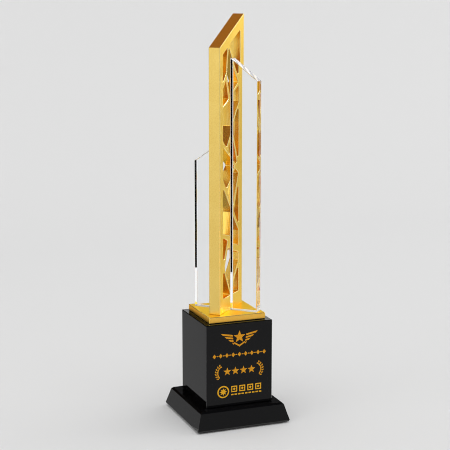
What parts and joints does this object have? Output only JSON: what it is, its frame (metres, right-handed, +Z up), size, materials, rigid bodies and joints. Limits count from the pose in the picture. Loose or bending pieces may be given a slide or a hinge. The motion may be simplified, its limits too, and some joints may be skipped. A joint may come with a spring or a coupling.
{
  "type": "column trophy",
  "caption": "Award trophy: gold lattice slab column with a slanted top, clear crystal panels on both sides, on a gold plate, a black block and a sloped plinth.",
  "frame": {"origin": "centre of the underside, on the surface that the trophy stands on", "axes": "+Z up, the decorated front of the block faces -Y, +X to the right seen from the front"},
  "size_m": [0.08, 0.08, 0.3297],
  "materials": {
    "foam_rubber": "fine closed-cell foam",
    "black_crystal": "polished",
    "black_crystal_block": "polished",
    "adhesive": "clear",
    "gold_plate": "satin gold plating",
    "gold_column": "fine blasted gold plating",
    "screw_steel": "turned",
    "clear_crystal": "polished",
    "clear_adhesive": "clear",
    "gold_fill": "gold colour fill"
  },
  "bodies": {
    "root": {"foot_pad": "foam_rubber", "plinth": "black_crystal", "plinth_bond": "adhesive", "block": "black_crystal_block", "plate_bond": "adhesive", "mount_plate": "gold_plate", "column": "gold_column", "column_screws": "screw_steel", "right_panel": "clear_crystal", "left_panel": "clear_crystal", "right_panel_bond": "clear_adhesive", "left_panel_bond": "clear_adhesive", "emblem_fill": "gold_fill", "lozenge_line_fill": "gold_fill", "star_row_fill": "gold_fill", "laurel_left_fill": "gold_fill", "laurel_right_fill": "gold_fill", "medallion_fill": "gold_fill", "tile_row_fill": "gold_fill", "dash_line_fill": "gold_fill"}
  },
  "joints": []
}
